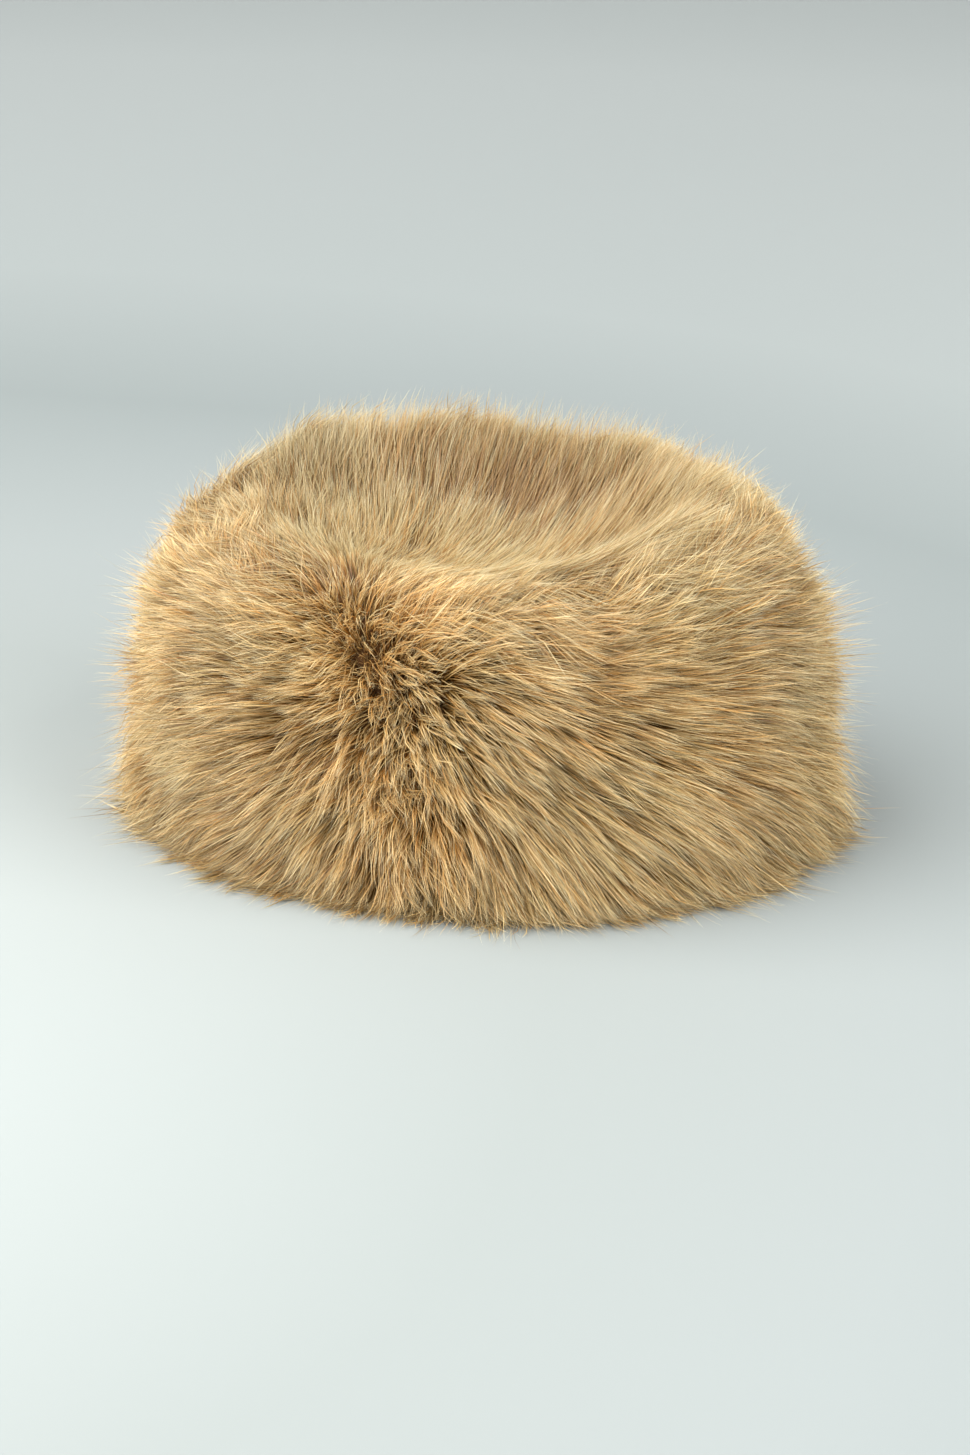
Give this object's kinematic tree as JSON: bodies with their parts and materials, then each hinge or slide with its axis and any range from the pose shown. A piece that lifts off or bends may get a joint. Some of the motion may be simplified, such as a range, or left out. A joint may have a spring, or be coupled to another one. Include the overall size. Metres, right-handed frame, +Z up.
{
  "type": "long-pile fur hat",
  "caption": "Round brimless hat of long-pile fur fabric, with a deep side band, a sunken oval crown and an open head hollow, lying on its hem.",
  "frame": {"origin": "on the resting surface, under the middle of the hat", "axes": "+X along the long axis of the head oval, +Y away from the band's upright seam, which faces -Y, +Z up"},
  "size_m": [0.3, 0.245, 0.1396],
  "materials": {
    "knit_backing": "warp-knitted backing of pile fabric, matt",
    "long_pile": "long straight pile, golden tan with darker roots and cream tips, soft sheen"
  },
  "bodies": {
    "root": {"side_band": "knit_backing", "crown_panel": "knit_backing", "side_fur": "long_pile", "crown_fur": "long_pile"}
  },
  "joints": []
}
